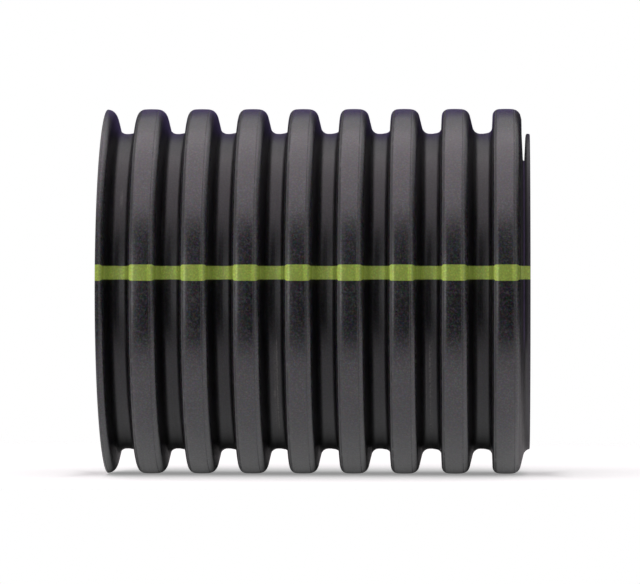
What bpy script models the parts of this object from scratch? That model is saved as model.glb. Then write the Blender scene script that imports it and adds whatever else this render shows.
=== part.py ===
"""Sawn length of single-wall corrugated plastic drainage pipe, lying along X.

Metres, +Z up. The origin is on the pipe's axis at mid-length.
"""

from math import cos, pi, radians, sin, tan

import bpy
import numpy as np

# The length of stock
LENGTH = 0.426
WALL = 0.003

# The corrugation, outside
CREST_DIAMETER = 0.368
CORRUGATION_HEIGHT = 0.025  # from the valley's floor to the crest
PITCH = 0.051
CREST_WIDTH = 0.0262  # between the flanks, where they would meet the crest
LAST_CREST_TO_END = 0.0241  # from the last crest's centre to the right-hand sawn end

# The two flanks differ: the left one is the steeper
LEFT_DRAFT = radians(2.5)
LEFT_CORNER = 0.0095
LEFT_FOOT = 0.006
RIGHT_DRAFT = radians(12.5)
RIGHT_CORNER = 0.0075
RIGHT_FOOT = 0.0085

# The saw cut that was started in the last valley and given up
KERF_WIDTH = 0.0042
KERF_DEPTH = 0.0298  # below the valley's floor
LIP_WIDTH = 0.0042  # of the ring left between the kerf and the sawn end

# How finely the round surfaces are faceted
FACETS = 32  # round the pipe; a multiple of four puts a facet on each side of the box
ARC_STEP = 0.0065  # along the corners and fillets of the section
TIGHTEST_CORNER = 0.0005
SHARP_EDGE = radians(50)
MERGE_DISTANCE = 0.00001

SPARE_CRESTS = 2  # past each sawn end, before the line is cut to length
CUTTER_SPARE = 0.02
BLACK_PLASTIC = (0.045, 0.041, 0.045, 1.0)
PLASTIC_ROUGHNESS = 0.42

VALLEY_DIAMETER = CREST_DIAMETER - 2 * CORRUGATION_HEIGHT


def clear_scene():
    for obj in list(bpy.data.objects):
        bpy.data.objects.remove(obj, do_unlink=True)


def new_collection(name):
    collection = bpy.data.collections.new(name)
    bpy.context.scene.collection.children.link(collection)
    return collection


def plastic_material(name, colour, roughness):
    material = bpy.data.materials.new(name)
    material.use_nodes = True
    shader = material.node_tree.nodes["Principled BSDF"]
    shader.inputs["Base Color"].default_value = colour
    shader.inputs["Roughness"].default_value = roughness
    shader.inputs["Metallic"].default_value = 0.0
    material.diffuse_color = colour
    return material


def outside_radii(draft, corner, foot):
    """The crest's corner and the foot's fillet, as far as crest, flank and floor have room for them."""
    flank_runs = CORRUGATION_HEIGHT * (tan(LEFT_DRAFT) + tan(RIGHT_DRAFT))
    floor_half = (PITCH - CREST_WIDTH - flank_runs) / 2
    run_per_radius = tan((pi / 2 - draft) / 2)
    corner_run = min(corner * run_per_radius, CREST_WIDTH / 2)
    foot_run = min(foot * run_per_radius, floor_half)
    flank = CORRUGATION_HEIGHT / cos(draft)
    share = min(1.0, flank / (corner_run + foot_run))
    return share * corner_run / run_per_radius, share * foot_run / run_per_radius


def arc(x, radius_at_centre, radius, start, end):
    """Points (x, distance from the axis) on an arc. A negative radius gives the hollow side."""
    count = max(1, round(abs(radius * (end - start)) / ARC_STEP))
    angles = [start + (end - start) * i / count for i in range(count + 1)]
    return [(x + radius * cos(a), radius_at_centre + radius * sin(a)) for a in angles]


def half_corrugation(depth, draft, outer_corner, outer_foot):
    """From the crest down one flank to the floor, this deep below the outer surface."""
    crest = CREST_DIAMETER / 2 - depth
    valley = VALLEY_DIAMETER / 2 - depth
    outer_corner, outer_foot = outside_radii(draft, outer_corner, outer_foot)
    corner = max(outer_corner - depth, TIGHTEST_CORNER)
    foot = outer_foot + depth
    crest_edge = CREST_WIDTH / 2 + depth * tan(draft) - depth / cos(draft)
    floor_edge = crest_edge + CORRUGATION_HEIGHT * tan(draft)
    run_per_radius = tan((pi / 2 - draft) / 2)
    corner_centre = crest_edge - corner * run_per_radius
    foot_centre = floor_edge + foot * run_per_radius
    points = arc(corner_centre, crest - corner, corner, pi / 2, draft)
    return points + arc(foot_centre, valley + foot, -foot, draft, pi / 2)


def corrugation(centre, depth):
    """One corrugation, left to right, as a line this deep below the outer surface."""
    left = half_corrugation(depth, LEFT_DRAFT, LEFT_CORNER, LEFT_FOOT)
    right = half_corrugation(depth, RIGHT_DRAFT, RIGHT_CORNER, RIGHT_FOOT)
    return [(centre - x, r) for x, r in reversed(left)] + [(centre + x, r) for x, r in right]


def wall_line(depth):
    """The corrugations from one sawn end to the other, this deep below the outer surface."""
    last_crest = LENGTH / 2 - LAST_CREST_TO_END
    crests_left = round(LENGTH / PITCH) + SPARE_CRESTS
    line = []
    for i in range(-crests_left, SPARE_CRESTS + 1):
        line += corrugation(last_crest + i * PITCH, depth)
    along, radii = zip(*line)
    ends = [(x, float(np.interp(x, along, radii))) for x in (-LENGTH / 2, LENGTH / 2)]
    between = [(x, r) for x, r in line if -LENGTH / 2 < x < LENGTH / 2]
    return [ends[0], *between, ends[1]]


def turned_pipe(name, material):
    """The wall's section turned about X. Radii hold at the middle of each facet."""
    section = wall_line(0.0) + wall_line(WALL)[::-1]
    half_facet = pi / FACETS
    to_corner = 1 / cos(half_facet)
    points = [
        (x, r * to_corner * sin(half_facet), r * to_corner * cos(half_facet))
        for x, r in section
    ]
    edges = [(i, (i + 1) % len(points)) for i in range(len(points))]
    outline = bpy.data.meshes.new(name + "_section")
    outline.from_pydata(points, edges, [])
    profile = bpy.data.objects.new(name + "_section", outline)
    bpy.context.scene.collection.objects.link(profile)

    turn = profile.modifiers.new("turn", "SCREW")
    turn.axis = "X"
    turn.angle = 2 * pi
    turn.steps = FACETS
    turn.render_steps = FACETS
    turn.use_merge_vertices = True
    turn.merge_threshold = MERGE_DISTANCE

    bpy.context.view_layer.update()
    turned = profile.evaluated_get(bpy.context.evaluated_depsgraph_get())
    mesh = bpy.data.meshes.new_from_object(turned)
    mesh.name = name
    mesh.materials.append(material)
    mesh.shade_smooth()
    mesh.set_sharp_from_angle(angle=SHARP_EDGE)
    bpy.data.objects.remove(profile, do_unlink=True)
    return bpy.data.objects.new(name, mesh)


def kerf_cutter():
    """A slab as thick as the saw's kerf, from above the pipe down to the depth that the saw reached."""
    top = CREST_DIAMETER / 2 + CUTTER_SPARE
    bottom = VALLEY_DIAMETER / 2 - KERF_DEPTH
    kerf_centre = LENGTH / 2 - LIP_WIDTH - KERF_WIDTH / 2
    bpy.ops.mesh.primitive_cube_add(
        size=1.0,
        location=(kerf_centre, 0.0, (top + bottom) / 2),
        scale=(KERF_WIDTH, CREST_DIAMETER + 2 * CUTTER_SPARE, top - bottom),
    )
    cutter = bpy.context.object
    cutter.name = "saw_kerf"
    cutter.hide_render = True
    cutter.display_type = "WIRE"
    return cutter


def move_to(obj, collection):
    for holder in list(obj.users_collection):
        holder.objects.unlink(obj)
    collection.objects.link(obj)


def main():
    clear_scene()
    parts = new_collection("corrugated_drainage_pipe")
    cutters = new_collection("cutters")
    cutters.hide_render = True

    plastic = plastic_material("black_plastic", BLACK_PLASTIC, PLASTIC_ROUGHNESS)
    pipe = turned_pipe("corrugated_pipe", plastic)
    parts.objects.link(pipe)

    cutter = kerf_cutter()
    move_to(cutter, cutters)
    cut = pipe.modifiers.new("saw_kerf", "BOOLEAN")
    cut.operation = "DIFFERENCE"
    cut.solver = "EXACT"
    cut.object = cutter


main()
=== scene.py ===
"""Looks of a sawn length of corrugated plastic drainage pipe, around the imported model. Metres, +Z up."""

from math import atan2, cos, hypot, pi, radians, sin, tan

import bmesh
import bpy
import numpy as np
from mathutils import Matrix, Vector, noise

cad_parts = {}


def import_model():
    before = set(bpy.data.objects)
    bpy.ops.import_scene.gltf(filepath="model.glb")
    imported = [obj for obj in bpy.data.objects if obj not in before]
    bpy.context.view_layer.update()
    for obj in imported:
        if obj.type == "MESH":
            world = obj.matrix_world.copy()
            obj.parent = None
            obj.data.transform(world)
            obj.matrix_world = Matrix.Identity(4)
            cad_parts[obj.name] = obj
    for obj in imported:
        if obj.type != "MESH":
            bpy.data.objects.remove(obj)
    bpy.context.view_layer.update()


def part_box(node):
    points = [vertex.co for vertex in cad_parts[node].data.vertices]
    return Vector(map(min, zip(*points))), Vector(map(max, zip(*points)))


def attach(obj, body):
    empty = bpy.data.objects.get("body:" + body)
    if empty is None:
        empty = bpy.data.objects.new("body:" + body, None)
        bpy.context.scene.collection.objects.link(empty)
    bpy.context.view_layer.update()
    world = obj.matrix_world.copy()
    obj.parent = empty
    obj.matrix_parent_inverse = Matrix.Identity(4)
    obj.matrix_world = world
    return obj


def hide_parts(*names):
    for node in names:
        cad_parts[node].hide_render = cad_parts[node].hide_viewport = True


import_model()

NODE = "corrugated_pipe"
LOW, HIGH = (Vector(corner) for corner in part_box(NODE))

# The pipe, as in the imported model
LENGTH = HIGH.x - LOW.x
CREST_RADIUS = (HIGH.z - LOW.z) / 2
CORRUGATION_HEIGHT = 0.025
VALLEY_RADIUS = CREST_RADIUS - CORRUGATION_HEIGHT
WALL = 0.003
PITCH = 0.051
CREST_WIDTH = 0.0262
LEFT_DRAFT = radians(2.5)
LAST_CREST_TO_END = 0.0241
LAST_CREST = HIGH.x - LAST_CREST_TO_END
KERF_WIDTH = 0.0042
KERF_DEPTH = 0.0298
LIP_WIDTH = 0.0042
KERF_CENTRE = HIGH.x - LIP_WIDTH - KERF_WIDTH / 2

# How finely the visible surface is meshed
FACETS = 128
SAMPLE_STEP = 0.0002
OUTER_TOLERANCE = 0.00003
INNER_TOLERANCE = 0.00006
SAWN_EDGE_STEPS = 4
MERGE_DISTANCE = 0.00001
SHARP_EDGE = radians(40)

# The moulded section, with the shoulders that the plain one leaves out
RIGHT_DRAFT = radians(13.8)  # a little more than the plain section's
LEFT_SHOULDER = 0.0072  # from the crest's centre
RIGHT_SHOULDER = 0.0069
CROWN_SLOPE = radians(4)  # of the crest's slight crown, where it meets the shoulders
CROWN_SHARE = 0.45
SHOULDER_SLOPE = radians(13)
SHOULDER_EASE = 0.003
LEFT_CORNER = 0.0067
RIGHT_CORNER = 0.0086
LEFT_FOOT = 0.0054
LEFT_TOE = 0.0225  # where the valley's floor starts to rise to the flank
LEFT_TOE_SLOPE = radians(10)
RIGHT_FOOT = 0.0078
TOE_EASE = 0.010
INNER_CORNER = 0.0050
SAWN_EDGE = 0.0010  # the rounding of the sawn ends' outer edges

# Slight waviness round each rib
WAVE_DEPTH = 0.0001
WAVE_COUNT = 2.2  # the higher, the more waves go round
WAVE_SHIFT = 7.3  # from rib to rib, so that no two are alike

# The kerf: the blade was thinner below, and rocked
KERF_FOOT_WIDTH = 0.0021
KERF_FOOT_BEVEL = 0.0008
KERF_MOUTH = 0.0026  # how far below the valley's surface it starts to narrow
CUTTER_SPARE = 0.02  # how far the cutting shape stands out of the pipe

# The lip's worn top, as places past the kerf's face and depths below the valley's surface
LIP_TOP = (
    (0.0005, 0.0014),
    (0.0014, 0.0008),
    (LIP_WIDTH - 0.0012, 0.0007),
    (LIP_WIDTH + 0.0010, 0.0016),
)

# Gloss: the crests are scuffed but shine, and the grooves are cleaner
CREST_ROUGHNESS = 0.31
CREST_IOR = 1.55
GROOVE_ROUGHNESS = 0.36
GROOVE_IOR = 1.395
GROOVE_BELOW = 0.0065  # the crest
SPECULAR_TINT = (0.97, 0.95, 1.0, 1.0)
STREAK_GLOSS = 0.10  # how far each pattern swings the roughness
CLOUD_GLOSS = 0.08
GRAIN_GLOSS = 0.16
DUST_DULLING = 0.2
MARK_DULLING = 0.2
LINE_DULLING = 0.35

# Patterns, as how finely they repeat along X and across it
STREAKS = (900.0, 7.0, 7.0)
WIDE_STREAKS = (260.0, 4.0, 4.0)
DASHES = (30.0, 110.0, 110.0)
DASH_GAPS = (0.25, 0.50)
GRAIN = 480.0
CLOUDS = 22.0
SPECKS = 520.0
SPECK_TINTS = 600.0
SPECK_TONE = 6.0  # how far the specks' tones reach either side of the plastic's, as a share
SPECK_TINT = 3.8
DARKEST_SPECK = 0.1
GREEN_SPECKS = 0.10  # how much of that shows on the stripe

# Relief too fine to mesh, as heights
GRAIN_HEIGHT = 0.00009
STREAK_HEIGHT = 0.000014
WIDE_STREAK_HEIGHT = 0.00003
LINE_DEPTH = 0.00020
PARTING_RIDGE = 0.00008
SCORE_DEPTH = 0.00025

# Bands, as their middle, half width and softness; a middle across a rib is from the crest's centre
# The fine lines along the shoulders are shallow grooves, painted near black as painted shade
LEFT_LINE = (-0.0102, 0.0009, 0.0009)
LEFT_LINE_STRENGTH = 0.8
RIGHT_LINE = (0.0084, 0.0005, 0.0005)
RIGHT_LINE_STRENGTH = 0.55
# Painted highlights: the stripe's green is painted lighter on both shoulders and the left foot
HIGHLIGHT_LEFT = (-0.0093, 0.0022, 0.0022)
HIGHLIGHT_FOOT = (-0.0187, 0.0015, 0.0030)
HIGHLIGHT_RIGHT = (0.0080, 0.0019, 0.0022)
HIGHLIGHT_RIGHT_STRENGTH = 0.67
HIGHLIGHT_GRAIN = 0.5
SHADED_FLANK = (-0.0146, 0.0020, 0.0012)
FLANK_SHADE = 0.16
PARTING = (-0.001, 0.0003, 0.0003)  # the mould halves' parting line, by height
SCORE = (0.0, 0.0007, 0.0010)  # the ring that the saw scored, pale with a painted purple reflection, from the kerf's centre
SCORE_FAINTEST = 0.5  # between its dashes
BESIDE_SCORE = (0.0022, 0.0009, 0.0008)  # its sides, painted dark as painted shade
SCORED_ABOVE = (-0.065, -0.040)  # the heights across which the scoring sets in
SCUFF_REACH = LIP_WIDTH + 0.0006  # from the kerf to where the lip would be scuffed all over

# The stripe
STRIPE_HEIGHT = 0.0182  # of its middle above the axis, on crests and in valleys alike
STRIPE_HALF_WIDTH = 0.0066
STRIPE_EXTRA = 0.0013  # on the crests, where the skin was pulled further
STRIPE_WIDENS = (-0.0122, -0.0100)
STRIPE_NARROWS = (0.0106, 0.0138)
STRIPE_WANDER = 0.0005
STRIPE_WANDER_SCALE = 60.0
STRIPE_SOFTNESS = 0.0003

# Dust, thickest low in the valleys
DUST_THINS = (0.001, 0.008)  # above the valley's surface
DUST_ON_CRESTS = 0.15
DUST_STRENGTH = 0.6
DUSTY_CLOUDS = (0.42, 0.70)
DUSTY_STREAKS = (0.45, 0.75)

# Where dust and rubbing left marks: middle along X, half width, the lowest and highest angle below the
# horizontal on the side that faces the camera, and how strong
MARKS = (
    (-0.0375, 0.0045, radians(20), radians(60), 0.45),
    (-0.0362, 0.0009, radians(18), radians(62), 1.0),
    (-0.0392, 0.0020, radians(38), radians(41), 1.0),
    (0.1140, 0.0012, radians(20), radians(60), 1.0),
    (0.1155, 0.0030, radians(18), radians(62), 0.35),
    (0.1105, 0.0008, radians(24), radians(52), 0.6),
    (0.0967, 0.0009, radians(47), radians(53), 1.0),
    (-0.1170, 0.0040, radians(2.1), radians(2.8), 0.30),
    (-0.1900, 0.0030, radians(-38), radians(-32), 0.6),
)
MARK_BREAKUP = (0.75, 1.15)
MARK_FADE = radians(8)

# The cut faces, with the saw's streaks
SAWN_FACING = 0.999  # how squarely they face along X
SAWN_ROUGHNESS = 0.5
SAW_STREAKS = (200.0, 35.0, 900.0)
SAW_STREAK_TONES = (0.35, 0.70)
SAW_STREAK_DULLING = 0.2
SAW_STREAK_DEPTH = 0.0002
SAW_STREAK_STRENGTH = 0.6

# Colours
# The grooves' black is a darker copy of the crests', as painted shade in the recesses
BLACK_GROOVE_SHADED = (0.0036, 0.0034, 0.0042, 1.0)
BLACK_CREST = (0.0112, 0.0105, 0.0124, 1.0)
# The lip's scuffed grey and the score's pale line carry a purple tint, a painted reflection
SCUFFED_LIP_WITH_REFLECTION = (0.040, 0.033, 0.048, 1.0)
# The near black of painted shade in the fine grooves and beside the score
PAINTED_SHADE_BLACK = (0.002, 0.002, 0.0025, 1.0)
SCORE_WITH_REFLECTION = (0.066, 0.044, 0.105, 1.0)
DUST = (0.045, 0.043, 0.042, 1.0)
RUBBED_MARK = (0.150, 0.145, 0.142, 1.0)
# The grooves' green is a lighter copy of the crests', as painted light in the recesses
GREEN_CREST = (0.261, 0.348, 0.053, 1.0)
GREEN_GROOVE_LIT = (0.368, 0.476, 0.094, 1.0)
# The lighter green of the stripe's painted highlights
GREEN_PAINTED_HIGHLIGHT = (0.41, 0.54, 0.075, 1.0)
SAWN_DARK = (0.030, 0.028, 0.030, 1.0)
SAWN_PALE = (0.075, 0.071, 0.073, 1.0)
WHITE = (1.0, 1.0, 1.0, 1.0)

# The floor. Its glow keeps it white where no shadow falls, and its edges fade into the background. The glow
# is painted light: it is taken away under the pipe as a painted shadow, and in reflections it is dark under
# the pipe and bright in front of it
FLOOR_GAP = 0.0002
FLOOR_SIZE = 4.0
FLOOR_TONE = (0.82, 0.82, 0.82, 1.0)
FLOOR_GLOW = 0.5
SHADED_BAND = (0.01, 0.12, 0.55, 1.0)  # the painted shadow: how the glow returns to either side of the pipe's axis
PAST_THE_ENDS = (HIGH.x - 0.02, HIGH.x + 0.05)  # and past the pipe's ends
GLOSSY_PAINTED_SHADOW = (-0.11, 0.01, 1.0, 0.0)  # painted shadow in reflections: how their glow goes dark under the pipe
GLOSSY_PAINTED_LIGHT = (-0.34, -0.20, 0.6, 1.0)  # and bright in front of it, painted light in reflections
FRONT_FADE = (-0.47, -0.26)
BACK_FADE = (0.7, 1.3, 1.0, 0.0)
SIDE_FADE = (0.6, 1.2, 1.0, 0.0)

# The studio
SKY_LIGHT = 0.38
CARD_DISTANCE = 3.2  # of the dark cards around the pipe
CARD_TOP = 2.6
BACK_CARD_FOOT = -1.0
RIGHT_CARD_FOOT = -1.5
RIGHT_CARD_FRONT = -1.6
BACK_CARD_SIDES = (-0.75, 0.55)

# The camera, fitted to the crests' outlines in the photograph
PHOTO_WIDTH = 640
CAMERA_PLACE = (0.180, -5.42, -0.00075)
CAMERA_TURN = radians(1.887)
FOCAL_PIXELS = 5370.0
SENSOR_WIDTH = 36.0
CLIP_END = 100.0


def rounded(corners):
    """A closely spaced line through (x, r, radius) corners, each rounded off to its radius."""
    points = [Vector(corners[0][:2])]
    for before, (x, r, radius), after in zip(corners, corners[1:], corners[2:]):
        corner = Vector((x, r))
        back = (Vector(before[:2]) - corner).normalized()
        on = (Vector(after[:2]) - corner).normalized()
        half_angle = back.angle(on) / 2
        centre = corner + (back + on).normalized() * (radius / sin(half_angle))
        reach = radius / tan(half_angle)
        first, last = corner + back * reach - centre, corner + on * reach - centre
        turn = first.angle_signed(last)
        count = max(2, round(radius * abs(turn) / SAMPLE_STEP))
        for i in range(count + 1):
            angle = -turn * i / count
            points.append(
                centre
                + Vector((
                    first.x * cos(angle) - first.y * sin(angle),
                    first.x * sin(angle) + first.y * cos(angle),
                ))
            )
    points.append(Vector(corners[-1][:2]))
    return [tuple(point) for point in points]


def outer_side(draft, shoulder, corner, foot, toe=PITCH / 2, toe_slope=0.0):
    """The outer line from a crest's middle down one flank to the middle of the valley."""
    crown = shoulder * CROWN_SHARE
    drop = (shoulder - crown) * tan(CROWN_SLOPE)
    # Where the shoulder's line meets the flank's
    fall = drop + (CREST_WIDTH / 2 - shoulder) * tan(SHOULDER_SLOPE)
    fall /= 1 - tan(SHOULDER_SLOPE) * tan(draft)
    # Where the toe's line meets it
    rise = (toe - CREST_WIDTH / 2 - CORRUGATION_HEIGHT * tan(draft)) * tan(toe_slope)
    rise /= 1 - tan(toe_slope) * tan(draft)
    floor_corners = [(toe, VALLEY_RADIUS, TOE_EASE)] if toe_slope else []
    return rounded([
        (0.0, CREST_RADIUS, 0.0),
        (crown, CREST_RADIUS, crown / tan(CROWN_SLOPE / 2)),
        (shoulder, CREST_RADIUS - drop, SHOULDER_EASE),
        (CREST_WIDTH / 2 + fall * tan(draft), CREST_RADIUS - fall, corner),
        (CREST_WIDTH / 2 + (CORRUGATION_HEIGHT - rise) * tan(draft), VALLEY_RADIUS + rise, foot),
        *floor_corners,
        (PITCH / 2, VALLEY_RADIUS, 0.0),
    ])


def inner_side(draft, foot):
    """The same on the inside, one wall deeper."""
    crest = CREST_RADIUS - WALL
    valley = crest - CORRUGATION_HEIGHT
    crest_edge = CREST_WIDTH / 2 + WALL * tan(draft) - WALL / cos(draft)
    return rounded([
        (0.0, crest, 0.0),
        (crest_edge, crest, INNER_CORNER),
        (crest_edge + CORRUGATION_HEIGHT * tan(draft), valley, foot + WALL),
        (PITCH / 2, valley, 0.0),
    ])


def thinned(points, tolerance):
    """The line with every point left out that lies within the tolerance of its neighbours' chord."""
    keep = {0, len(points) - 1}
    stretches = [(0, len(points) - 1)]
    line = np.array(points)
    while stretches:
        first, last = stretches.pop()
        if last - first < 2:
            continue
        chord = line[last] - line[first]
        offsets = line[first + 1 : last] - line[first]
        away = np.abs(chord[0] * offsets[:, 1] - chord[1] * offsets[:, 0]) / np.hypot(*chord)
        far = int(np.argmax(away))
        if away[far] > tolerance:
            middle = first + 1 + far
            keep.add(middle)
            stretches += [(first, middle), (middle, last)]
    return [points[i] for i in sorted(keep)]


def wall_line(left, right):
    """The whole wall from one sawn end to the other, from the two sides of one crest."""
    section = [(-x, r) for x, r in reversed(left[1:])] + right
    # One rib more than the pipe has at each end, cut back below
    line = []
    for i in range(-round(LENGTH / PITCH) - 1, 2):
        centre = LAST_CREST + i * PITCH
        line += [(centre + x, r) for x, r in section[:-1]]
    along, radii = zip(*line)
    ends = [(x, float(np.interp(x, along, radii))) for x in (LOW.x, HIGH.x)]
    between = [(x, r) for x, r in line if LOW.x + SAMPLE_STEP < x < HIGH.x - SAMPLE_STEP]
    return [ends[0], *between, ends[1]]


def scraped_ends(line):
    """The line with its ends rounded off towards the axis."""
    along, radii = zip(*line)
    turns = [pi / 2 * i / SAWN_EDGE_STEPS for i in range(SAWN_EDGE_STEPS + 1)]
    runs = [(SAWN_EDGE * (1 - cos(turn)), SAWN_EDGE * (1 - sin(turn))) for turn in turns]
    left = [(LOW.x + run, float(np.interp(LOW.x + run, along, radii)) - fall) for run, fall in runs]
    right = [(HIGH.x - run, float(np.interp(HIGH.x - run, along, radii)) - fall) for run, fall in runs]
    reach = SAWN_EDGE + SAMPLE_STEP
    between = [(x, r) for x, r in line if LOW.x + reach < x < HIGH.x - reach]
    return [*left, *between, *reversed(right)]


def pipe_mesh(name):
    """The wall's section turned about X."""
    left = outer_side(LEFT_DRAFT, LEFT_SHOULDER, LEFT_CORNER, LEFT_FOOT, LEFT_TOE, LEFT_TOE_SLOPE)
    right = outer_side(RIGHT_DRAFT, RIGHT_SHOULDER, RIGHT_CORNER, RIGHT_FOOT)
    outer = wall_line(thinned(left, OUTER_TOLERANCE), thinned(right, OUTER_TOLERANCE))
    inner = wall_line(
        thinned(inner_side(LEFT_DRAFT, LEFT_FOOT), INNER_TOLERANCE),
        thinned(inner_side(RIGHT_DRAFT, RIGHT_FOOT), INNER_TOLERANCE),
    )
    section = scraped_ends(outer) + inner[::-1]
    edges = [(i, (i + 1) % len(section)) for i in range(len(section))]
    outline = bpy.data.meshes.new(name + "_section")
    outline.from_pydata([(x, 0.0, r) for x, r in section], edges, [])
    profile = bpy.data.objects.new(name + "_section", outline)
    bpy.context.scene.collection.objects.link(profile)
    turn = profile.modifiers.new("turn", "SCREW")
    turn.axis = "X"
    turn.angle = 2 * pi
    turn.steps = turn.render_steps = FACETS
    turn.use_merge_vertices = True
    turn.merge_threshold = MERGE_DISTANCE
    mesh = evaluated_mesh(profile)
    mesh.name = name
    bpy.data.objects.remove(profile, do_unlink=True)
    return mesh


def evaluated_mesh(obj):
    """The object's mesh with its modifiers applied."""
    bpy.context.view_layer.update()
    graph = bpy.context.evaluated_depsgraph_get()
    return bpy.data.meshes.new_from_object(obj.evaluated_get(graph))


def wave_inwards(mesh):
    """Slight waviness round each rib, the same on both sides of the wall and never outwards."""
    places = np.empty(len(mesh.vertices) * 3)
    mesh.vertices.foreach_get("co", places)
    places = places.reshape(-1, 3)
    for i, (x, y, z) in enumerate(places):
        turn = atan2(z, y)
        rib = round((x - LAST_CREST) / PITCH)
        spot = Vector((rib * WAVE_SHIFT, WAVE_COUNT * cos(turn), WAVE_COUNT * sin(turn)))
        depth = WAVE_DEPTH * (0.5 + 0.5 * noise.noise(spot))
        share = 1 - depth / hypot(y, z)
        places[i] = (x, y * share, z * share)
    mesh.vertices.foreach_set("co", places.ravel())
    mesh.update()


def kerf_cutter(material):
    """A prism in the shape of the saw's kerf, which also takes off the lip's worn top."""
    top = CREST_RADIUS + CUTTER_SPARE
    mouth = VALLEY_RADIUS - KERF_MOUTH
    foot = VALLEY_RADIUS - KERF_DEPTH
    half, half_foot = KERF_WIDTH / 2, KERF_FOOT_WIDTH / 2
    worn = [(half + past, VALLEY_RADIUS - depth) for past, depth in LIP_TOP]
    outline = [
        (-half_foot, foot + KERF_FOOT_BEVEL),
        (-half_foot / 2, foot),
        (half_foot / 2, foot),
        (half_foot, foot + KERF_FOOT_BEVEL),
        (half, mouth),
        *worn,
        (worn[-1][0], top),
        (-half, top),
        (-half, mouth),
    ]
    points = [(KERF_CENTRE + x, y, z) for y in (-top, top) for x, z in outline]
    count = len(outline)
    sides = [(i, (i + 1) % count, (i + 1) % count + count, i + count) for i in range(count)]
    caps = [tuple(reversed(range(count))), tuple(range(count, 2 * count))]
    mesh = bpy.data.meshes.new("kerf_cutter")
    mesh.from_pydata(points, [], [*sides, *caps])
    shape = bmesh.new()
    shape.from_mesh(mesh)
    bmesh.ops.recalc_face_normals(shape, faces=shape.faces)
    shape.to_mesh(mesh)
    shape.free()
    mesh.materials.append(material)
    cutter = bpy.data.objects.new("kerf_cutter", mesh)
    bpy.context.scene.collection.objects.link(cutter)
    return cutter


class Nodes:
    """Short calls for a node tree."""

    def __init__(self, tree):
        self.tree = tree

    def add(self, kind, settings=None, **inputs):
        node = self.tree.nodes.new(kind)
        for key, value in (settings or {}).items():
            setattr(node, key, value)
        for socket, value in inputs.items():
            self.put(node, socket, value)
        return node

    def put(self, node, socket, value):
        """Links a socket, or sets its value. It is named, or counted from 0."""
        target = node.inputs[socket]
        if isinstance(value, bpy.types.NodeSocket):
            self.tree.links.new(value, target)
        else:
            target.default_value = value

    def math(self, operation, *values, clamp=False):
        node = self.add("ShaderNodeMath", {"operation": operation, "use_clamp": clamp})
        for i, value in enumerate(values):
            self.put(node, i, value)
        return node.outputs[0]

    def vector(self, operation, *values):
        node = self.add("ShaderNodeVectorMath", {"operation": operation})
        for i, value in enumerate(values):
            self.put(node, i, value)
        return node.outputs["Value" if operation == "DOT_PRODUCT" else "Vector"]

    def split(self, vector):
        node = self.add("ShaderNodeSeparateXYZ", Vector=vector)
        return node.outputs[0], node.outputs[1], node.outputs[2]

    def ramp(self, value, low, high, out_low=0.0, out_high=1.0):
        """A smooth step of value from out_low at low to out_high at high."""
        node = self.add("ShaderNodeMapRange", {"interpolation_type": "SMOOTHSTEP"})
        for socket, number in zip(
            ("Value", "From Min", "From Max", "To Min", "To Max"),
            (value, low, high, out_low, out_high),
        ):
            self.put(node, socket, number)
        return node.outputs["Result"]

    def band(self, value, centre, half_width, softness):
        """1 within half_width of centre, falling to 0 across the softness."""
        away = self.math("ABSOLUTE", self.math("SUBTRACT", value, centre))
        return self.ramp(away, half_width - softness / 2, half_width + softness / 2, 1.0, 0.0)

    def swing(self, pattern, reach, middle):
        """The middle, moved up or down by a pattern's distance from its own middle, 0.5."""
        return self.math("MULTIPLY_ADD", self.math("SUBTRACT", pattern, 0.5), reach, middle)

    def mix(self, factor, first, second):
        """A colour between two. The node has sockets for other data first, hence their numbers."""
        node = self.add("ShaderNodeMix", {"data_type": "RGBA"})
        self.put(node, 0, factor)
        self.put(node, 6, first)
        self.put(node, 7, second)
        return node.outputs[2]

    def noise(self, vector, scale, detail=3.0, roughness=0.55, output="Fac"):
        node = self.add("ShaderNodeTexNoise", Scale=scale, Detail=detail, Roughness=roughness)
        self.put(node, "Vector", vector)
        return node.outputs[output]

    def stretched_noise(self, vector, factors, detail=3.0, roughness=0.55):
        return self.noise(self.vector("MULTIPLY", vector, factors), 1.0, detail, roughness)

    def bump(self, height, distance=1.0, strength=1.0):
        node = self.add("ShaderNodeBump", Height=height, Distance=distance, Strength=strength)
        return node.outputs[0]


def new_material(name):
    """A material with its nodes and its shader."""
    material = bpy.data.materials.new(name)
    material.use_nodes = True
    tree = material.node_tree
    return material, Nodes(tree), tree.nodes["Principled BSDF"]


class Spot:
    """A spot on the pipe, as its material knows it: where it is, and the patterns that it falls in."""

    def __init__(self, n):
        coordinates = n.add("ShaderNodeTexCoord")
        self.place = coordinates.outputs["Object"]
        self.x, self.y, self.z = n.split(self.place)
        squares = [n.math("POWER", side, 2.0) for side in (self.y, self.z)]
        self.radius = n.math("SQRT", n.math("ADD", *squares))
        from_valley = n.math("FLOORED_MODULO", n.math("SUBTRACT", self.x, LAST_CREST - PITCH / 2), PITCH)
        self.across = n.math("SUBTRACT", from_valley, PITCH / 2)
        outwards = n.vector("MULTIPLY", self.place, (0.0, 1.0, 1.0))
        facing = n.vector("DOT_PRODUCT", coordinates.outputs["Normal"], outwards)
        self.outside = n.math("GREATER_THAN", facing, 0.0)

        # Streaks that the forming drew round the pipe, a fine grain, broad clouding and broken dashes
        self.streaks = n.stretched_noise(self.place, STREAKS, detail=4.0, roughness=0.6)
        self.wide_streaks = n.stretched_noise(self.place, WIDE_STREAKS, detail=2.0)
        self.dashes = n.stretched_noise(self.place, DASHES, detail=2.0)
        self.grain = n.noise(self.place, GRAIN, detail=2.0, roughness=0.6)
        self.clouds = n.noise(self.place, CLOUDS)


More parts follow.
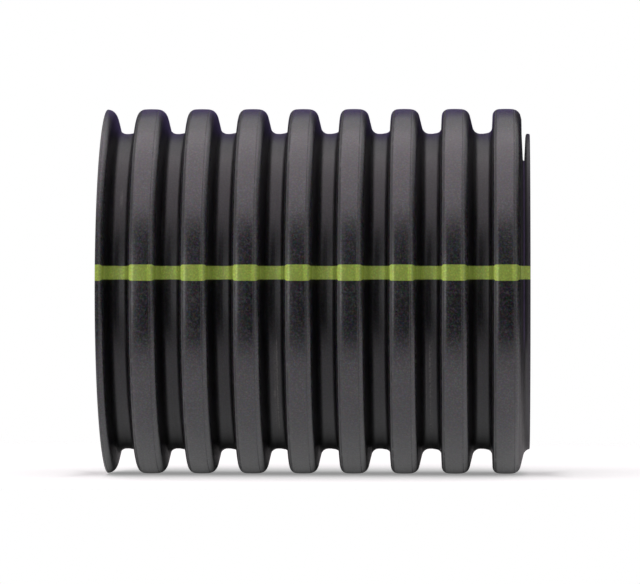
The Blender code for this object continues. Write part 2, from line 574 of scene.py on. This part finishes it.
def stripe_mask(n, spot):
    """1 on the stripe, by how far a spot on the outer skin lies above or below the stripe's middle."""
    away = n.math("ABSOLUTE", n.math("SUBTRACT", spot.z, STRIPE_HEIGHT))
    past = n.math("SUBTRACT", away, STRIPE_HALF_WIDTH)
    on_crest = n.math(
        "MULTIPLY",
        n.ramp(spot.across, *STRIPE_WIDENS),
        n.ramp(spot.across, *STRIPE_NARROWS, 1.0, 0.0),
    )
    past = n.math("MULTIPLY_ADD", on_crest, -STRIPE_EXTRA, past)
    past = n.swing(n.noise(spot.place, STRIPE_WANDER_SCALE, detail=2.0), STRIPE_WANDER, past)
    inside = n.ramp(past, -STRIPE_SOFTNESS, STRIPE_SOFTNESS, 1.0, 0.0)
    inside = n.math("MULTIPLY", inside, n.math("LESS_THAN", spot.y, 0.0))
    return n.math("MULTIPLY", inside, spot.outside)


def painted_highlight_mask(n, spot):
    """1 where highlights are painted on the stripe, on both shoulders and the left foot."""
    pale = n.math("ADD", n.band(spot.across, *HIGHLIGHT_LEFT), n.band(spot.across, *HIGHLIGHT_FOOT))
    pale = n.math("MULTIPLY_ADD", n.band(spot.across, *HIGHLIGHT_RIGHT), HIGHLIGHT_RIGHT_STRENGTH, pale)
    uneven = n.math("SUBTRACT", spot.grain, 0.5)
    return n.math("MULTIPLY_ADD", uneven, HIGHLIGHT_GRAIN, pale, clamp=True)


def dust_mask(n, spot):
    """1 where dust lies thickest."""
    low, high = (VALLEY_RADIUS + height for height in DUST_THINS)
    settled = n.ramp(spot.radius, low, high, 1.0, DUST_ON_CRESTS)
    patchy = n.math("MULTIPLY", n.ramp(spot.clouds, *DUSTY_CLOUDS), n.ramp(spot.streaks, *DUSTY_STREAKS))
    return n.math("MULTIPLY", n.math("MULTIPLY", settled, patchy), DUST_STRENGTH)


def mark_mask(n, spot):
    """1 on the marks of dust and rubbing."""
    angle = n.math("ARCTAN2", n.math("MULTIPLY", spot.z, -1.0), n.math("MULTIPLY", spot.y, -1.0))
    total = 0.0
    for middle, half_width, low, high, strength in MARKS:
        across = n.band(spot.x, middle, half_width / 2, half_width)
        round_pipe = n.band(angle, (low + high) / 2, (high - low) / 2, min(MARK_FADE, high - low))
        total = n.math("MULTIPLY_ADD", across, n.math("MULTIPLY", round_pipe, strength), total)
    breakup = n.ramp(n.math("ADD", spot.streaks, spot.grain), *MARK_BREAKUP)
    return n.math("MULTIPLY", n.math("MULTIPLY", total, breakup, clamp=True), spot.outside)


def line_mask(n, spot):
    """1 on the broken fine grooves along the shoulders, which are also painted dark as painted shade."""
    left = n.math("MULTIPLY", n.band(spot.across, *LEFT_LINE), LEFT_LINE_STRENGTH)
    right = n.math("MULTIPLY", n.band(spot.across, *RIGHT_LINE), RIGHT_LINE_STRENGTH)
    return n.math("MULTIPLY", n.math("ADD", left, right), n.ramp(spot.dashes, *DASH_GAPS))


def saw_masks(n, spot):
    """What the saw left beside its kerf: the scuffed lip, and the score round the valley with its sides.
    The lip and the score are tinted purple as a painted reflection.
    """
    past_kerf = n.math("SUBTRACT", spot.x, KERF_CENTRE)
    lip = n.ramp(past_kerf, KERF_WIDTH / 2, KERF_WIDTH / 2 + SCUFF_REACH)
    scored = n.math("MULTIPLY", n.ramp(spot.z, *SCORED_ABOVE), spot.outside)
    score = n.math("MULTIPLY", n.band(past_kerf, *SCORE), n.ramp(spot.dashes, *DASH_GAPS, SCORE_FAINTEST))
    sides = n.band(n.math("ABSOLUTE", past_kerf), *BESIDE_SCORE)
    return lip, n.math("MULTIPLY", score, scored), n.math("MULTIPLY", sides, scored)


def specks(n, spot):
    """A factor near 1 for each channel, so that fine specks differ a little in tone and tint."""
    tone = n.noise(spot.place, SPECKS, detail=2.0, roughness=0.6)
    tone = n.math("MULTIPLY_ADD", tone, 2 * SPECK_TONE, 1 - SPECK_TONE - SPECK_TINT)
    tint = n.noise(spot.place, SPECK_TINTS, detail=1.0, roughness=0.5, output="Color")
    factor = n.vector("MULTIPLY_ADD", tint, (2 * SPECK_TINT,) * 3, tone)
    return n.vector("MAXIMUM", factor, (DARKEST_SPECK,) * 3)


def softened(n, factor, share):
    """The factor with only this share of its swing about 1."""
    return n.vector("MULTIPLY_ADD", factor, (share,) * 3, (1 - share,) * 3)


def pipe_material(name, black_plastic, green_plastic, roughness, ior):
    """The moulded plastic with its stripe, its fine relief and its wear, with painted highlights and
    painted shade on the stripe and painted shade in its fine lines.
    """
    material, n, shader = new_material(name)
    spot = Spot(n)
    dust = dust_mask(n, spot)
    marks = mark_mask(n, spot)
    lines = line_mask(n, spot)
    lip, score, beside = saw_masks(n, spot)
    # Fine lines and the score's sides are painted near black, as painted shade in their grooves
    painted_shade = n.math("MAXIMUM", lines, beside)
    factor = specks(n, spot)

    black = n.vector("MULTIPLY", n.mix(painted_shade, black_plastic, PAINTED_SHADE_BLACK), factor)
    for mask, colour in ((dust, DUST), (lip, SCUFFED_LIP_WITH_REFLECTION), (score, SCORE_WITH_REFLECTION), (marks, RUBBED_MARK)):
        black = n.mix(mask, black, colour)
    # The stripe's green, painted lighter as highlights on the shoulders and the left foot
    green = n.mix(painted_highlight_mask(n, spot), green_plastic, GREEN_PAINTED_HIGHLIGHT)
    green = n.vector("MULTIPLY", green, softened(n, factor, GREEN_SPECKS))
    shaded = n.math("MULTIPLY_ADD", n.band(spot.across, *SHADED_FLANK), -FLANK_SHADE, 1.0)
    green = n.vector("MULTIPLY", green, shaded)
    n.put(shader, "Base Color", n.mix(stripe_mask(n, spot), black, green))

    rough = n.swing(spot.streaks, STREAK_GLOSS, roughness)
    rough = n.swing(spot.clouds, CLOUD_GLOSS, rough)
    rough = n.swing(spot.grain, GRAIN_GLOSS, rough)
    rough = n.math("MULTIPLY_ADD", dust, DUST_DULLING, rough)
    rough = n.math("MULTIPLY_ADD", marks, MARK_DULLING, rough)
    n.put(shader, "Roughness", n.math("MULTIPLY_ADD", painted_shade, LINE_DULLING, rough, clamp=True))
    shader.inputs["IOR"].default_value = ior
    shader.inputs["Specular Tint"].default_value = SPECULAR_TINT

    height = n.math("MULTIPLY", spot.grain, GRAIN_HEIGHT)
    for pattern, rise in (
        (spot.streaks, STREAK_HEIGHT),
        (spot.wide_streaks, WIDE_STREAK_HEIGHT),
        (lines, -LINE_DEPTH),
        (n.band(spot.z, *PARTING), PARTING_RIDGE),
        (beside, -SCORE_DEPTH),
    ):
        height = n.math("MULTIPLY_ADD", pattern, rise, height)
    n.put(shader, "Normal", n.bump(height))
    return material


def sawn_material(name):
    """The plastic where a saw went through it: duller and greyer, with the saw's marks."""
    material, n, shader = new_material(name)
    place = n.add("ShaderNodeTexCoord").outputs["Object"]
    marks = n.stretched_noise(place, SAW_STREAKS, roughness=0.6)
    n.put(shader, "Base Color", n.mix(n.ramp(marks, *SAW_STREAK_TONES), SAWN_DARK, SAWN_PALE))
    n.put(shader, "Roughness", n.math("MULTIPLY_ADD", marks, SAW_STREAK_DULLING, SAWN_ROUGHNESS))
    n.put(shader, "Normal", n.bump(marks, SAW_STREAK_DEPTH, SAW_STREAK_STRENGTH))
    return material


def dressed_pipe():
    """The visible wall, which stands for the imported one."""
    mesh = pipe_mesh("pipe_wall")
    wave_inwards(mesh)
    sawn = sawn_material("pipe_sawn")
    # The groove material carries the painted copies of the colours: its black darker as painted shade, its
    # green lighter as painted light
    for material in (
        pipe_material("crest_plastic", BLACK_CREST, GREEN_CREST, CREST_ROUGHNESS, CREST_IOR),
        pipe_material("groove_plastic", BLACK_GROOVE_SHADED, GREEN_GROOVE_LIT, GROOVE_ROUGHNESS, GROOVE_IOR),
        sawn,
    ):
        mesh.materials.append(material)
    crest_slot, groove_slot, sawn_slot = range(3)
    for polygon in mesh.polygons:
        to_end = min(polygon.center.x - LOW.x, HIGH.x - polygon.center.x)
        if abs(polygon.normal.x) > SAWN_FACING and to_end < SAMPLE_STEP / 2:
            polygon.material_index = sawn_slot
        elif hypot(polygon.center.y, polygon.center.z) < CREST_RADIUS - GROOVE_BELOW:
            polygon.material_index = groove_slot
        else:
            polygon.material_index = crest_slot
    pipe = bpy.data.objects.new("pipe_wall", mesh)
    bpy.context.scene.collection.objects.link(pipe)

    cutter = kerf_cutter(sawn)
    cut = pipe.modifiers.new("kerf", "BOOLEAN")
    cut.operation = "DIFFERENCE"
    cut.solver = "EXACT"
    cut.material_mode = "TRANSFER"
    cut.object = cutter
    finished = evaluated_mesh(pipe)
    pipe.modifiers.clear()
    pipe.data = finished
    bpy.data.objects.remove(cutter, do_unlink=True)
    finished.shade_smooth()
    finished.set_sharp_from_angle(angle=SHARP_EDGE)

    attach(pipe, "root")
    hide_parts(NODE)


def seen_directly(n):
    """1 for camera, glossy and transmission rays."""
    path = n.add("ShaderNodeLightPath")
    seen = n.math("MAXIMUM", path.outputs["Is Camera Ray"], path.outputs["Is Glossy Ray"])
    return n.math("MAXIMUM", seen, path.outputs["Is Transmission Ray"])


def floor_material(name):
    """Pale and white where no shadow falls, with a painted shadow in its glow under the pipe, and clear
    towards the floor's edges.
    """
    material = bpy.data.materials.new(name)
    material.use_nodes = True
    tree = material.node_tree
    tree.nodes.clear()
    n = Nodes(tree)
    x, y, _ = n.split(n.add("ShaderNodeNewGeometry").outputs["Position"])
    from_side = n.math("ABSOLUTE", x)
    from_axis = n.math("ABSOLUTE", y)

    # The glow fades under the pipe as a painted shadow, for reflections more than for the camera
    outside_painted_shadow = n.math("MAXIMUM", n.ramp(from_axis, *SHADED_BAND), n.ramp(from_side, *PAST_THE_ENDS))
    painted_reflection = n.math("MULTIPLY", n.ramp(y, *GLOSSY_PAINTED_SHADOW), n.ramp(y, *GLOSSY_PAINTED_LIGHT))
    glossy = n.add("ShaderNodeLightPath").outputs["Is Glossy Ray"]
    direct = n.math("MULTIPLY", n.math("SUBTRACT", seen_directly(n), glossy), outside_painted_shadow)
    reflected = n.math("MULTIPLY", glossy, painted_reflection)
    strength = n.math("MULTIPLY_ADD", direct, FLOOR_GLOW, reflected)

    lit = n.add("ShaderNodeAddShader")
    n.put(lit, 0, n.add("ShaderNodeBsdfDiffuse", Color=FLOOR_TONE).outputs[0])
    n.put(lit, 1, n.add("ShaderNodeEmission", Color=WHITE, Strength=strength).outputs[0])
    fore_and_aft = n.math("MULTIPLY", n.ramp(y, *FRONT_FADE), n.ramp(y, *BACK_FADE))
    solid = n.math("MULTIPLY", fore_and_aft, n.ramp(from_side, *SIDE_FADE))
    blend = n.add("ShaderNodeMixShader")
    n.put(blend, 0, solid)
    n.put(blend, 1, n.add("ShaderNodeBsdfTransparent").outputs[0])
    n.put(blend, 2, lit.outputs[0])
    n.add("ShaderNodeOutputMaterial", Surface=blend.outputs[0])
    return material


def floor():
    """A pale sheet under the pipe that fades into the white background."""
    bpy.ops.mesh.primitive_plane_add(size=1.0, location=(0.0, 0.0, LOW.z - FLOOR_GAP))
    sheet = bpy.context.object
    sheet.name = "floor"
    sheet.scale = (FLOOR_SIZE, FLOOR_SIZE, 1.0)
    sheet.data.materials.append(floor_material("pale_floor"))


def world():
    """White to the camera and in reflections, and dimmer as a light."""
    surroundings = bpy.data.worlds.new("studio")
    bpy.context.scene.world = surroundings
    surroundings.use_nodes = True
    tree = surroundings.node_tree
    tree.nodes.clear()
    n = Nodes(tree)
    strength = n.math("MAXIMUM", seen_directly(n), SKY_LIGHT)
    sky = n.add("ShaderNodeBackground", Color=WHITE, Strength=strength)
    n.add("ShaderNodeOutputWorld", Surface=sky.outputs[0])


def softbox(name, place, target, size, radiance, colour=WHITE[:3]):
    """A soft lamp whose face has this radiance, where 1 is white."""
    lamp = bpy.data.lights.new(name, "AREA")
    lamp.shape = "RECTANGLE"
    lamp.color = colour
    lamp.size, lamp.size_y = size
    lamp.energy = radiance * pi * size[0] * size[1]
    holder = bpy.data.objects.new(name, lamp)
    holder.location = place
    holder.rotation_euler = (Vector(target) - Vector(place)).to_track_quat("-Z", "Y").to_euler()
    holder.visible_camera = False
    bpy.context.scene.collection.objects.link(holder)


def dark_card(name, start, end, foot, top, colour):
    """An upright card from start to end that only reflections see, and that keeps them dark."""
    corners = [(*start, foot), (*end, foot), (*end, top), (*start, top)]
    mesh = bpy.data.meshes.new(name)
    mesh.from_pydata(corners, [], [(0, 1, 2, 3)])
    card = bpy.data.objects.new(name, mesh)
    bpy.context.scene.collection.objects.link(card)
    material, n, shader = new_material(name)
    n.put(shader, "Base Color", (*colour, 1.0))
    n.put(shader, "Roughness", 1.0)
    mesh.materials.append(material)
    card.visible_camera = False
    card.visible_diffuse = False
    card.visible_shadow = False


def front_card(name, left, right, under, over, colour):
    """A dark card in front of the pipe, between these angles from straight ahead, in degrees."""
    start, end, foot, top = (CARD_DISTANCE * tan(radians(angle)) for angle in (left, right, under, over))
    dark_card(name, (start, -CARD_DISTANCE), (end, -CARD_DISTANCE), foot, top, colour)


def back_card(name, left, right, colour):
    """A dark card behind the pipe."""
    dark_card(name, (left, CARD_DISTANCE), (right, CARD_DISTANCE), BACK_CARD_FOOT, CARD_TOP, colour)


def studio():
    """Plain soft light from above and from the left, with dark cards in front, behind and to the right."""
    world()
    floor()
    softbox(
        "top_softbox",
        place=(-0.25, -0.34, 1.6),
        target=(-0.25, -0.34, 0.0),
        size=(2.2, 2.3),
        radiance=1.34,
        colour=(1.0, 0.87, 0.93),
    )
    softbox("left_softbox", place=(-1.9, -2.5, 0.2), target=(0.0, 0.0, 0.0), size=(2.5, 2.0), radiance=1.35)
    front_card("front_card", left=-16.5, right=17, under=-37, over=42, colour=(0.047, 0.047, 0.060))
    front_card("low_front_card", left=17, right=34, under=-34, over=7, colour=(0.12, 0.12, 0.12))
    middle_left, middle_right = BACK_CARD_SIDES
    back_card("back_card", middle_left, middle_right, (0.27, 0.18, 0.60))
    back_card("back_left_card", -CARD_DISTANCE, middle_left, (0.05, 0.04, 0.08))
    back_card("back_right_card", middle_right, CARD_DISTANCE, (0.05, 0.04, 0.08))
    dark_card(
        "right_card",
        (CARD_DISTANCE, RIGHT_CARD_FRONT),
        (CARD_DISTANCE, CARD_DISTANCE),
        RIGHT_CARD_FOOT,
        CARD_TOP,
        (0.08, 0.08, 0.08),
    )


def camera():
    """The photograph's camera, a little to the right of the pipe's middle and turned back to it."""
    data = bpy.data.cameras.new("camera")
    data.sensor_width = SENSOR_WIDTH
    data.lens = FOCAL_PIXELS / PHOTO_WIDTH * SENSOR_WIDTH
    data.clip_end = CLIP_END
    holder = bpy.data.objects.new("camera", data)
    holder.location = CAMERA_PLACE
    holder.rotation_euler = (pi / 2, 0.0, CAMERA_TURN)
    bpy.context.scene.collection.objects.link(holder)
    bpy.context.scene.camera = holder


camera()
dressed_pipe()
studio()
bpy.context.scene.view_settings.view_transform = "Standard"
